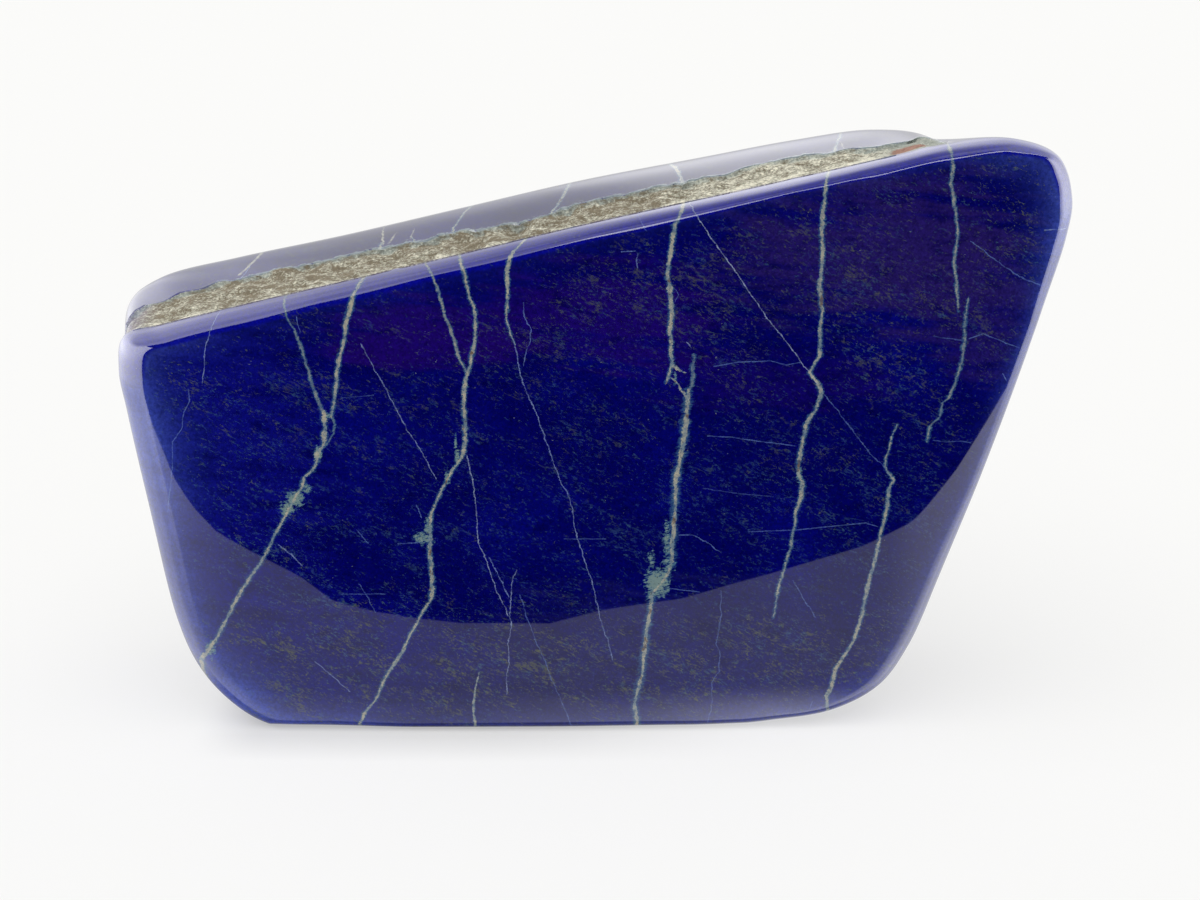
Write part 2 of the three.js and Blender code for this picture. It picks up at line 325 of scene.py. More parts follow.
# The nodes of one material or world, made and linked by short calls. A value is a number, colour or socket.
class Graph:
    def __init__(self, tree):
        self.tree = tree

    def feed(self, socket, value):
        if isinstance(value, bpy.types.NodeSocket):
            self.tree.links.new(value, socket)
        else:
            socket.default_value = value

    def node(self, kind, settings=None, **inputs):
        made = self.tree.nodes.new("ShaderNode" + kind)
        for name, value in (settings or {}).items():
            setattr(made, name, value)
        return self.give(made, **inputs)

    def give(self, made, **inputs):
        for name, value in inputs.items():
            self.feed(made.inputs[name.replace("_", " ")], value)
        return made

    # first output of a node whose sockets take the values in their order
    def filled(self, kind, settings, *values):
        made = self.node(kind, settings)
        for socket, value in zip(made.inputs, values):
            self.feed(socket, value)
        return made.outputs[0]

    def calc(self, operation, *values):
        return self.filled("Math", {"operation": operation}, *values)

    add = partialmethod(calc, "ADD")
    minus = partialmethod(calc, "SUBTRACT")
    times = partialmethod(calc, "MULTIPLY")
    timesPlus = partialmethod(calc, "MULTIPLY_ADD")
    size = partialmethod(calc, "ABSOLUTE")
    choose = partialmethod(filled, "MixShader", None)

    # a noise value from 0 to 1 moved to stand around 0, then scaled and added
    def stir(self, value, amount, base):
        return self.timesPlus(self.minus(value, .5), amount, base)

    def largest(self, sockets):
        found = sockets[0]
        for socket in sockets[1:]:
            found = self.calc("MAXIMUM", found, socket)
        return found

    def ramp(self, value, low, high, start=0, end=1, easing="SMOOTHSTEP"):
        return self.filled("MapRange", {"interpolation_type": easing}, value, low, high, start, end)

    # the number at a share of the way from first to second
    def between(self, share, first, second):
        return self.ramp(share, 0, 1, first, second, "LINEAR")

    def blend(self, share, first, second, way="MIX"):
        made = self.node("Mix", {"data_type": "RGBA", "blend_type": way})
        for place, value in ((0, share), (6, first), (7, second)):
            self.feed(made.inputs[place], value)
        return made.outputs[2]

    def mapping(self, vector, **changes):
        return self.node("Mapping", Vector=vector, **changes).outputs[0]

    # value of a track y(x) through points in any units, straight from point to point and level outside them
    def track(self, value, points):
        table = np.array(sorted(points), float)
        low, high = table.min(0), table.max(0)
        size = np.maximum(high - low, 1e-6)
        share = self.ramp(value, float(low[0]), float(high[0]), easing="LINEAR")
        made = self.node("FloatCurve", Value=share)
        curve = made.mapping.curves[0]
        made.mapping.use_clip = False
        while len(curve.points) < len(points):
            curve.points.new(.5, .5)
        for point, place in zip(curve.points, (table - low) / size):
            point.location = place
            point.handle_type = "VECTOR"
        made.mapping.update()
        return self.timesPlus(made.outputs[0], float(size[1]), float(low[1]))

    # how deep a place lies inside an ellipse: depth at its middle, falling by 1 at its rim
    def ellipse(self, x, z, spot, depth=1):
        u = self.times(self.minus(x, spot[0]), 1 / spot[2])
        v = self.times(self.minus(z, spot[1]), 1 / spot[3])
        return self.minus(depth, self.add(self.times(u, u), self.times(v, v)))

    def attribute(self, name):
        return self.node("Attribute", {"attribute_name": name}).outputs["Fac"]


def newMaterial(name):
    material = bpy.data.materials.new(name)
    material.use_nodes = True
    g = Graph(material.node_tree)
    return material, g, g.tree.nodes["Principled BSDF"]


# Each vein is a thin sheet that cuts through the stone. path holds x, z and half width on the front face, in
# millimetres, from the top down. back holds how far the sheet has moved along X at some depths y, and gap
# the depths between which it is missing. open tells where it runs on past its path: 1 at the top, 2 at the
# foot, 3 at both. pale is how solid its core is and halo how far its teal fuzz reaches.
veins = [
    {"gap": (-4, 60), "open": 1, "pale": .34, "halo": .7, "path": [(-94.5, 147, .1), (-93.8, 144.5, .2),
     (-91.8, 138.2, .2), (-89.8, 134.8, .2), (-88.3, 130.4, .25), (-86.1, 123.1, .2), (-85.6, 119.6, .35),
     (-84.3, 115.5, .45), (-83.3, 112.9, .4), (-81.9, 109, .4)]},
    {"back": [(-30, 0), (5, 1), (18, 2.5), (40, 6)], "gap": (8, 28), "open": 1, "pale": .85, "halo": 1.2,
     "path": [(-67.5, 153, .55), (-71.2, 145.8, .6), (-73.3, 138.3, .65), (-74.8, 130.4, .5),
     (-76.6, 125, .45), (-77.2, 119.3, .45), (-77.9, 114.2, .45), (-78.7, 110.4, .5), (-79.4, 107.2, .3)]},
    {"open": 2, "pale": .85, "halo": 1.3, "path": [(-81.7, 109.6, .2), (-81.6, 107.2, .7),
     (-81.4, 103.8, .75), (-81.9, 98.6, .45), (-83.9, 96, .7), (-84.8, 91.7, .35), (-86.6, 89.4, .4),
     (-88.6, 87.6, .6), (-89.5, 84.1, .45), (-91.6, 81.6, .3), (-93.5, 78, .35), (-95.9, 73.8, .35),
     (-99.5, 67.4, .4), (-103.2, 60.2, .45), (-107.3, 54.4, .4), (-112.3, 46.8, .5), (-116.3, 39.2, .4),
     (-120, 32.5, .5), (-123.2, 28.2, .8), (-125.8, 24.3, .9)]},
    {"pale": .12, "halo": .6, "path": [(-79, 108, .3), (-78.4, 104.5, .25), (-78.8, 101.9, .2),
     (-82, 97.3, .2)]},
    {"back": [(-30, 0), (5, -6), (18, -8), (40, -9)], "gap": (8, 28), "open": 1, "pale": .6, "halo": .7,
     "path": [(-52.5, 158.5, .1), (-49.5, 156.6, .25), (-47, 153, .3), (-44.4, 147.1, .3),
     (-42.6, 139.6, .35), (-39.7, 131.8, .4), (-38.2, 125.7, .4), (-36.1, 121.3, .4)]},
    {"back": [(-30, 0), (5, -4), (18, -2), (40, 3)], "open": 3, "pale": .85, "halo": 1.1,
     "path": [(-37, 165, .4), (-38.6, 159.5, .3), (-37.1, 154.9, .3), (-35.3, 147.1, .35),
     (-33.3, 140.9, .35), (-33.4, 132.4, .4), (-34.7, 126.1, .45), (-36.1, 121, .5), (-37.1, 115.6, .55),
     (-37.2, 108.8, .55), (-37, 102, .55), (-37.4, 97.1, .65), (-38.4, 94, .6), (-40.3, 91.6, .55),
     (-43.1, 87, .45), (-46, 81.4, .35), (-48.4, 75.7, .35), (-48.9, 67.7, .5), (-49.1, 61.3, .6),
     (-48.6, 54.5, .7), (-48.8, 47.3, .55), (-52.2, 42.1, .35), (-56.6, 33.4, .4), (-60.5, 26, .6),
     (-64.6, 20, .4), (-68.5, 11.1, .35), (-72, 7.1, .5), (-73.8, 2.8, .45)]},
    {"back": [(-30, 0), (-4, 6), (5, 7.4), (18, 8), (40, 9.6)], "open": 1, "pale": .85, "halo": .9,
     "path": [(-12.5, 172, .4), (-17.8, 164.4, .45), (-21.2, 159.5, .5), (-22.5, 157, .55),
     (-23.1, 153.9, .5), (-22.9, 148, .4), (-23.3, 142.7, .35), (-23.6, 138.4, .25), (-20.9, 130.5, .12)]},
    {"back": [(-30, 0), (-4, .8), (5, 1), (18, .4), (40, -5)], "open": 1, "pale": .85, "halo": 1.2,
     "path": [(29.5, 180, .6), (32.3, 174, .6), (29, 167.9, .6), (27.8, 160.3, .6), (26.6, 152.8, .55),
     (27.6, 147.6, .7), (28.1, 141, .55), (27.7, 135, .6), (28, 129.3, .55), (28.4, 123.9, .5),
     (27.4, 120.4, .4), (26.6, 118, .1)]},
    {"pale": .8, "halo": .3, "path": [(28.3, 124.3, .35), (30.6, 122.4, .35), (32.7, 121.5, .25)]},
    {"pale": .85, "halo": .3, "path": [(27.9, 120.1, .2), (30.4, 117.6, .22), (32.8, 114.5, .25)]},
    {"pale": .35, "halo": 1, "path": [(35.2, 127.5, .1), (35.3, 125.4, .3), (35, 123.3, .45),
     (34.9, 120, .5), (34.5, 117.2, .5), (33.5, 114.8, .5)]},
    {"open": 2, "pale": .88, "halo": 2.1, "path": [(33.7, 116.2, .4), (33.5, 114.3, .7), (33.3, 111.1, .75),
     (33, 106.3, .7), (32.1, 98.2, .8), (30.8, 91.6, .8), (29.9, 85.4, .75), (29.9, 80.1, .7),
     (29.5, 71.7, .7), (29.1, 64, .6), (28.7, 59.3, .6), (27.8, 55.2, .5), (25.5, 52, .3), (22.5, 48.4, .6),
     (22.2, 42.9, .55), (21.1, 36, .5), (20.2, 29.3, .55), (19.6, 21.2, .5), (17.6, 12.4, .5),
     (17.3, 8.8, .6), (18, 3.4, .5)]},
    {"back": [(-30, 0), (5, 7), (18, 10.3), (40, 14)], "open": 1, "pale": .76, "halo": 1.2,
     "path": [(74.8, 183.5, .35), (74.7, 177.4, .5), (74.2, 171.3, .5), (74.1, 165.2, .5), (74.8, 158.7, .5),
     (74.2, 147.2, .55), (75.3, 140.6, .5), (74.8, 134.9, .5), (75.1, 126.7, .5), (71.7, 121, .5),
     (74.4, 118.1, .6), (76, 114.9, .7), (74, 108.8, .65), (71.2, 104.6, .6), (70.4, 98.7, .55),
     (69.3, 93.2, .55), (69.1, 88.9, .65), (70.5, 84.9, .55), (70.3, 80.6, .5), (68.5, 74.3, .45),
     (68.3, 69.3, .45), (67.2, 63.5, .35), (66, 58.5, .3), (64.2, 52, .3), (63.1, 45.8, .2),
     (62.3, 39.6, .1)]},
    {"open": 1, "pale": .58, "halo": .9, "path": [(114.4, 190.4, .35), (115, 185, .45), (114.5, 180.1, .45),
     (116.5, 170.3, .4), (117.4, 163.8, .4), (116.5, 154.8, .4), (117.8, 146.7, .35), (118.7, 139.8, .1)]},
    {"pale": .48, "halo": 1.1, "path": [(121.4, 144.1, .1), (120.7, 138.5, .3), (121, 132.1, .35),
     (120.4, 124.2, .35), (118.7, 118.1, .35), (116.8, 112.3, .3), (114.6, 110.7, .25), (114.1, 106.2, .25),
     (111, 103.3, .25), (110.3, 98.1, .1)]},
    {"open": 2, "pale": .76, "halo": 1.1, "path": [(100.4, 104.1, .1), (98.6, 99.6, .2), (97.3, 92.7, .25),
     (97, 90.4, .3), (99.8, 85.8, .5), (98.6, 82.8, .5), (98.3, 76.1, .5), (96.9, 69.8, .45),
     (95.3, 60, .45), (93.6, 52.8, .5), (92.3, 46, .5), (91.2, 38.7, .6), (88.9, 30.7, .65),
     (83.6, 21.6, .55), (82.5, 15.3, .5), (80.6, 11.4, .6), (81.5, 6.7, .5)]},
    {"open": 2, "pale": .7, "halo": .4, "path": [(-34, 21.5, .1), (-35.4, 14.8, .25), (-36.2, 8.7, .35),
     (-35.7, 2.9, .3)]},
]

# Hairlines: how strongly each one shows, then x, z from the top down.
hairlines = [
    (.6, (-109, 149), (-114, 142), (-116.2, 134.9), (-118.4, 129), (-119, 123), (-119.9, 117)),
    (.45, (-124.4, 117), (-124.3, 112), (-126.1, 108.6), (-127.4, 103), (-130.2, 98.8), (-130.9, 91),
     (-131.6, 85.4), (-133.5, 74.7)),
    (.45, (-89.2, 140.1), (-88.2, 133.2)),
    (.65, (-69.8, 131.7), (-66.2, 124.7), (-62.6, 118.1), (-58.7, 110.1), (-55.4, 103.3), (-51.1, 96.5),
     (-45.9, 86.3)),
    (.7, (-36.8, 95.8), (-35.1, 88.3), (-33.9, 80), (-33.8, 67.7), (-31, 59.9), (-27.6, 49.4),
     (-23.6, 40.1)),
    (.55, (-30.7, 62), (-26.3, 53.5), (-23.5, 46.6)),
    (.65, (-20.7, 57.9), (-22.7, 53.5), (-23.5, 44.2), (-23.3, 37.6), (-24.3, 31), (-24.1, 24.7),
     (-24.8, 19.4), (-25.2, 12.6)),
    (.6, (-23.6, 138.4), (-20.9, 130.5), (-18.8, 118.7), (-14.8, 109.4), (-11.7, 100.7), (-8.9, 92.5),
     (-6.7, 85.6), (-4.8, 83.3), (-3.2, 77), (-1.6, 67.9), (.6, 60.5), (3.2, 52.7), (5.4, 42), (8.7, 30.8),
     (10, 24.5)),
    (.5, (-18.2, 144.6), (-18, 139.6), (-15.8, 135.5), (-16.2, 131.4), (-17.5, 127.6), (-18.5, 122.9)),
    (.7, (32.6, 132.2), (33.9, 130.2), (35.1, 128.4)), (.45, (28.5, 148.5), (30.4, 146.2), (28.9, 143)),
    (.75, (31, 178), (32.9, 174.6), (37, 168.5), (42.7, 160.2), (50, 150.2), (57.7, 139.2), (62.9, 132.9),
     (69.8, 123.6), (72.4, 120.7), (76, 114.9)),
    (.4, (76, 114.9), (81.3, 108.7), (85.7, 103.1), (88.4, 99.1), (91.4, 95.5), (96.1, 90.8), (99.8, 85.8)),
    (.4, (45, 50.2), (45.2, 40.9), (43.8, 30.5), (45.1, 28.3), (44.9, 20.9), (42.7, 17.4), (42.8, 11.3),
     (41.6, 2)),
    (.4, (-20.5, 49.3), (-17.7, 40), (-15.5, 33.4), (-12.9, 26.8), (-9.7, 17.9), (-6.8, 10.4), (-3.2, 1)),
    (.6, (-88.7, 25.8), (-80.8, 18.5), (-75.7, 13.5)), (.45, (68.1, 53.3), (71.9, 46.4), (76.7, 38.7)),
    (.6, (-99, 66), (-94, 62), (-89.7, 57)), (.35, (-73.3, 71.3), (-68.3, 64.9)),
    (.4, (-73, 52.7), (-70.2, 48.6), (-66.8, 41.4)), (.35, (76.3, 10.7), (74.8, 6.1)),
    (.5, (133.1, 120.7), (135.5, 116.8)), (.3, (16.9, 170.4), (20.9, 164.9)),
    (.55, (17.5, 159.7), (17.3, 153.5)), (.45, (-53.4, 79.5), (-51.2, 73.5)),
]
# The same for hairlines that run across, from left to right.
crossLines = [
    (.3, (110, 132.3), (121, 130.6)), (.6, (144, 165), (153, 165.2)),
    (.4, (120.9, 162.5), (129.4, 155.9), (137.7, 150.5), (145.2, 147.5)),
    (.45, (121.5, 131), (126.7, 132.7), (133.3, 130), (139.5, 127.7)),
    (.4, (40.7, 123.2), (49.2, 124.7), (59.6, 125), (64.4, 123.6), (70, 124.6)),
    (.4, (38.8, 101), (46.8, 100.6), (55.7, 99.2), (69.2, 97.4)),
    (.2, (37.7, 84), (50.6, 81.9), (62.2, 80.7)),
    (.35, (52.8, 69.1), (69, 69.6), (81.2, 70.7), (91.6, 71.6), (96.2, 69.8)),
    (.25, (111.2, 98.7), (116.8, 98), (120.3, 98.2), (125.5, 97.5)),
    (.45, (30.2, 68.4), (35.7, 68.3), (41.2, 65.2), (45.8, 61.5)), (.25, (-76.6, 113.5), (-64.9, 114.5)),
    (.3, (-79.3, 48.5), (-63, 48.6)), (.25, (-6.8, 67.3), (8.6, 67.2)), (.45, (-60.3, 65.6), (-50.5, 66.2)),
    (.5, (11.3, 159.4), (17.5, 159.7)), (.35, (27.5, 50.5), (33, 49.5), (39, 48.8)),
]
# The same for lines that show only on the polished ridge behind the strip.
ridgeLines = [
    (.8, (-107.3, 149.8), (-110.5, 147), (-115.7, 142.9), (-119.4, 137.7)),
    (.9, (-67.8, 157.4), (-65.8, 155), (-64.4, 152.8), (-63, 150.6)),
    (.8, (-61.8, 157.4), (-63.6, 155.3), (-65.6, 153.2), (-66.6, 151)),
    (.7, (-60.4, 155.6), (-62.6, 153.6), (-64.2, 151.6)), (.45, (-55.7, 159), (-56.9, 156), (-58.4, 151.5)),
    (.5, (84.5, 188), (85.3, 183.5)),
]


# Core, fuzz and hairlines of all the veins at a place given by its x, y and z sockets in millimetres. For
# each vein, the distance beyond its half width is read across the sheet; the core falls off over a frayed
# edge and the fuzz falls off over the vein's halo, and the strongest of all the veins counts. Past its path
# an open vein runs on, any other tapers till it is closed, and a gap takes gone from the half width.
def veinMarks(g, x, y, z, fray, swell):
    runOn, taper, closed, gone = 9, 1.5, -3, 4
    thin, soft, ridgeSoft = .09, .13, .4
    squareness = lambda along, across: along / math.hypot(along, across)
    cores, fuzzes, hairs = [], [], []
    for vein in veins:
        path, ends = vein["path"], vein.get("open", 0)
        first, last = path[0], path[-1]
        stops = [(first[1] + runOn, first[2]) if ends & 1 else (first[1] + taper, closed)]
        stops += [(p[1], p[2]) for p in path]
        stops += [(last[1] - runOn, last[2]) if ends & 2 else (last[1] - taper, closed)]
        center = g.track(z, [(p[1], p[0]) for p in path])
        width = g.times(g.track(z, stops), swell)
        if "back" in vein:
            center = g.add(center, g.track(y, vein["back"]))
        if "gap" in vein:
            start, end = vein["gap"]
            missing = g.track(y, [(start - 1, 0), (start, gone), (end, gone), (end + 1, 0)])
            width = g.minus(width, missing)
        away = g.times(g.size(g.minus(x, center)), squareness(first[1] - last[1], first[0] - last[0]))
        beyond = g.minus(away, width)
        cores.append(g.ramp(g.add(beyond, fray), -.08, .14, vein["pale"], 0))
        fuzzes.append(g.ramp(beyond, 0, vein["halo"], 1, 0, "LINEAR"))
    wisp = g.times(fray, .25)
    for lines, along, across, tall in ((hairlines, z, x, 1), (crossLines, x, z, 0), (ridgeLines, z, x, 1)):
        group = []
        for strength, *path in lines:
            path = sorted((p[tall], p[1 - tall]) for p in path)
            (start, a), (end, b) = path[0], path[-1]
            width = g.track(along, [(start - 1, -1), (start + 1, thin), (end - 1, thin), (end + 1, -1)])
            away = g.size(g.minus(across, g.track(along, path)))
            beyond = g.timesPlus(away, squareness(end - start, b - a), g.minus(wisp, width))
            group.append(g.ramp(beyond, -.02, ridgeSoft if lines is ridgeLines else soft, strength, 0))
        hairs.append(g.largest(group))
    onRidge = g.times(g.ramp(y, 4, 5), g.ramp(y, 28, 30, 1, 0))
    hairs[2] = g.times(hairs[2], onRidge)
    return g.largest(cores), g.largest(fuzzes), g.largest(hairs[:2]), hairs[2]


# Colours in sRGB from 0 to 255, places of markings in millimetres, and how the surface takes the light.
# A spot is x, z, half width and half height. Flecks are fewer inside fewFlecks and paler inside dimFlecks.
lapisFinish = {
    "colors": {
        "deep": (1, 1, 74), "bright": (2, 3, 88), "dark": (0, 0, 58), "violet": (20, 3, 84),
        # the rim's colour below is painted light: a paler blue where the bevels catch more light
        "plum": (27, 17, 78), "grey": (22, 22, 74), "left": (6, 7, 96), "paintedRimBlue": (46, 61, 140),
        # the lip band's colour below is painted light: a brighter blue where the top faces up into more
        # light
        "paintedLipLight": (4, 6, 118), "dot": (118, 126, 118), "fleckTeal": (46, 70, 102),
        "fleckOlive": (72, 76, 60), "fleckGrey": (59, 77, 80), "veinCore": (134, 136, 128),
        "veinWarm": (154, 148, 132), "veinCool": (100, 116, 126), "veinTeal": (40, 70, 108),
        "veinNear": (76, 100, 112), "veinPit": (40, 38, 48), "rust": (96, 76, 58),
        "hairline": (88, 112, 170), "hairPale": (128, 136, 158), "ridgeLine": (150, 150, 138),
        "patch": (106, 126, 122), "patchTeal": (64, 98, 118), "stripCream": (206, 202, 184),
        "stripGrey": (144, 142, 128), "stripBrown": (94, 85, 68), "stripEnd": (124, 130, 124),
        # the lip's colour below is a painted highlight along the strip's lip
        "fringe": (124, 138, 138), "stain": (122, 76, 60), "paintedLipHighlight": (168, 168, 172),
    },
    "veinSway": 1.9, "veinFray": 1.7, "lipSlope": .19,
    "fewFlecks": (0, 78, 95, 50), "dimFlecks": (20, 115, 140, 85), "stainSpot": (104, 7, 6.5, 3.5),
    "polish": .008, "stripRoughness": .9, "ior": 1.5, "pebbleSize": (.9, .45, .9), "pebbleHeight": .5,
}
# patches of pale green mineral beside the veins: x, z, half width, half height, thickness
patches = [
    (-39.7, 94.8, 1, 2.8, 1), (-40.1, 99, .6, 4.5, .7), (-42.8, 87.5, 1.1, 3.2, .6),
    (-49.4, 71.2, 1.6, 3.6, 1), (-51, 67.7, 3.2, 2.3, 1), (24.4, 52.4, 4.2, 4.8, 1.2),
    (22.3, 60, 1.6, 4.2, .6), (22.3, 47.9, 1.6, 3, .9), (27.4, 66, 1.6, 9, .55), (27.6, 57.5, 3, 5, .5),
    (-83.9, 95.8, 1.4, 2.2, 1), (-80, 107.8, 1.8, 1.2, .8), (-94.4, 77.4, 2.6, 3, 1),
    (-91.8, 80.6, 3, 3, 1.1), (-88.2, 83.8, 2.2, 1.8, .8), (-122, 29, 2.4, 4, .6), (29.5, 119.5, 1, 3, .35),
    (69.4, 88, 1.4, 4, .5)]
# zones of another colour: x, z, half width, half height, name, strength
zones = [
    (-125, 96, 52, 75, "left", .9), (-48, 134, 40, 15, "violet", .9), (8, 140, 46, 20, "violet", .8),
    (94, 160, 62, 28, "plum", .9), (60, 118, 50, 12, "violet", .35), (124, 146, 32, 30, "plum", .7),
    (-90, 22, 62, 30, "left", .55), (40, 30, 90, 26, "grey", .4), (-30, 18, 60, 14, "grey", .3)]

# Noises that the colours are made from: size in millimetres, or along X, Y and Z, detail, roughness,
# distortion, the direction it is drawn out in and shift.
lapisNoises = {
    "sway": (3.2, 4, .7), "fray": (.7, 3, .65), "swell": (5, 4, .7, 0, "upright", 31), "dirt": (3, 3, .65),
    "broken": (.9, 2, .7), "fibre": ((2, 2, .5), 3, .65, .6, "fibres"), "cloud": (38, 4, .6),
    "streak": ((34, 34, 5), 4, .6, 0, "streaks"), "smudge": ((9, 9, 4), 4, .65), "mottle": (1.1, 4, .75),
    "crowd": ((26, 18, 9), 3, .6, 0, "flecks", 3), "hue": (4.5, 3, .6),
    "broad": ((4.4, 2.8, 1.7), 3, .65, 1.4, "flecks"), "small": ((2.3, 1.5, 1), 3, .65, .9, "flecks", 17),
    "thread": ((3, 2, 1.3), 2, .55, 0, "flecks", 41), "dots": ((1.1, 1.1, .8), 1, .5, 0, "upright", 9),
    "grit": (.6, 2, .6), "worn": (1.6, 2, .6), "stripCloud": ((5, 2.4, 2.4), 5, .72, 0, "strip"),
    "speckle": ((.9, .63, .9), 3, .7), "smear": (30, 3, .6),
}
# turn of each direction about Y, in degrees
drawnOut = {"upright": 0, "fibres": 12, "streaks": -7, "flecks": -24, "strip": -13}


# The stone's material. Each layer of colour is blended over the last by its own share, from the body's blues
# to the flecks, the veins and the unpolished strip. Places are in millimetres.
def makeLapis(finish):
    material, g, shader = newMaterial("polishedLapis")
    tints = {name: tint(*levels) for name, levels in finish["colors"].items()}
    place = g.node("VectorMath", {"operation": "SCALE"},
                   Vector=g.node("TexCoord").outputs["Object"], Scale=1 / mm).outputs[0]
    x, y, z = g.node("SeparateXYZ", Vector=place).outputs
    ways = {name: g.mapping(place, Rotation=(0, math.radians(turn), 0)) for name, turn in drawnOut.items()}

    def scaled(vector, size, shift=0):
        return g.mapping(vector, Scale=1 / (size * np.ones(3)), Location=(shift, 1.7 * shift, .6 * shift))

    def field(size, detail, roughness, distortion=0, way="upright", shift=0):
        return g.node("TexNoise", Vector=scaled(ways[way], size, shift), Scale=1, Detail=detail,
                      Roughness=roughness, Distortion=distortion).outputs["Fac"]

    n = SimpleNamespace(**{name: field(*numbers) for name, numbers in lapisNoises.items()})

    def paint(color, share, name):
        return g.blend(share, color, tints[name])

    def lightness(color, value, low, high, least, most):
        return g.blend(1, color, g.ramp(value, low, high, least, most), "MULTIPLY")

    # wandering of the veins, their swelling and fraying
    sway = g.stir(n.sway, finish["veinSway"], 0)
    fray = g.stir(n.fray, finish["veinFray"], 0)
    swell = g.ramp(n.swell, .3, .7, .5, 1.15)
    core, fuzz, hair, ridge = veinMarks(g, g.add(x, sway), y, g.timesPlus(sway, .3, z), fray, swell)

    # body of the stone: blues in soft zones, streaked, darker and lighter by clouds, painted light on the
    # rim and the top's lip band, mottled by small grains
    color = paint(tints["deep"], g.ramp(n.cloud, .42, .66), "bright")
    for *spot, name, strength in zones:
        inside = g.stir(n.streak, 3.2, g.ellipse(x, z, spot))
        color = paint(color, g.times(g.ramp(inside, 0, .9), strength), name)
    color = paint(color, g.ramp(n.smudge, .5, .72, 0, .7), "dark")
    depth = g.attribute("insideRim")
    # painted light: a paler blue along the rim, where the bevels catch more light, fading inwards
    share = g.times(g.attribute("paintedRimShare"), g.ramp(n.streak, .3, .7, .75, 1.2))
    color = paint(color, g.times(g.calc("POWER", .37, depth), share), "paintedRimBlue")
    # painted light: a brighter blue on the top's lip band, which faces up into more light
    onTop = g.ramp(g.timesPlus(x, -finish["lipSlope"], z), 140, 152)
    color = paint(color, g.times(onTop, g.ramp(depth, 0, .4, .9, 0)), "paintedLipLight")
    color = lightness(color, n.mottle, .3, .7, .66, 1.3)

    # flecks: trains of wisps that dip to the right, broad and dim, small, thread-like, and sparse bright
    # dots; more of them low down, fewer at the middle and close to the rim, paler towards the top
    crowd = g.add(n.crowd, g.ramp(g.ellipse(x, z, finish["fewFlecks"]), -.5, .5, .12, .07))
    crowd = g.add(crowd, g.ramp(z, 20, 50, .12, 0))
    crowd = g.timesPlus(g.calc("POWER", .7, depth), -.2, crowd)
    dimmed = g.ramp(g.ellipse(x, z, finish["dimFlecks"]), -.15, .4, 1, .6)
    olive = g.add(g.add(n.hue, g.ramp(z, 30, 60, .16, 0)), g.ramp(z, 60, 140, -.12, .04))
    fleckColor = paint(tints["fleckTeal"], g.ramp(olive, .42, .48), "fleckGrey")
    fleckColor = paint(fleckColor, g.ramp(olive, .49, .55), "fleckOlive")
    broad = g.stir(n.broken, .4, g.stir(crowd, .4, n.broad))
    small = g.stir(crowd, .35, n.small)
    thread = g.ramp(g.size(g.minus(n.thread, .5)), .006, .026, 1, 0)
    thread = g.times(thread, g.ramp(small, .53, .65, 0, .75))
    for share in (g.ramp(broad, .6, .82, 0, .62), g.ramp(small, .64, .84), thread):
        color = g.blend(g.times(share, dimmed), color, fleckColor)
    color = paint(color, g.ramp(n.dots, .78, .83, 0, .4), "dot")

    # veins: a teal fuzz that breaks up into fibres away from the core, patches, hairlines, the chalky core
    hairy = g.stir(n.dirt, 1.2, g.stir(n.fibre, 1.7, fuzz))
    hairy = g.times(hairy, g.ramp(fuzz, 0, .2))
    color = paint(color, g.ramp(hairy, .36, .95, 0, .75), "veinTeal")
    color = paint(color, g.ramp(hairy, .8, 1.3, 0, .8), "veinNear")
    inside = g.largest([g.ellipse(x, z, spot, spot[4]) for spot in patches])
    inside = g.stir(n.broken, 2.4, g.stir(n.dirt, 1.8, g.stir(n.fibre, 3, inside)))
    patchColor = paint(tints["patchTeal"], g.ramp(inside, .3, 1), "patch")
    color = g.blend(g.ramp(inside, 0, .6, 0, .85), color, patchColor)
    pits = g.ramp(n.grit, .58, .68)
    color = paint(color, g.times(pits, g.ramp(inside, 0, .5, 0, .7)), "veinPit")
    faint = g.ramp(n.dirt, .32, .6, .35, 1.1)
    hairColor = paint(tints["hairline"], g.ramp(hair, .4, .75), "hairPale")
    color = g.blend(g.times(hair, faint), color, hairColor)
    color = paint(color, g.times(ridge, faint), "ridgeLine")
    coreColor = paint(tints["veinCool"], g.ramp(n.dirt, .38, .5), "veinCore")
    coreColor = paint(coreColor, g.ramp(n.dirt, .5, .62), "veinWarm")
    coreColor = paint(coreColor, g.ramp(n.hue, .6, .68), "rust")
    coreColor = paint(coreColor, g.times(pits, .75), "veinPit")
    color = g.blend(g.times(core, g.ramp(n.worn, .3, .55, .5, 1)), color, coreColor)

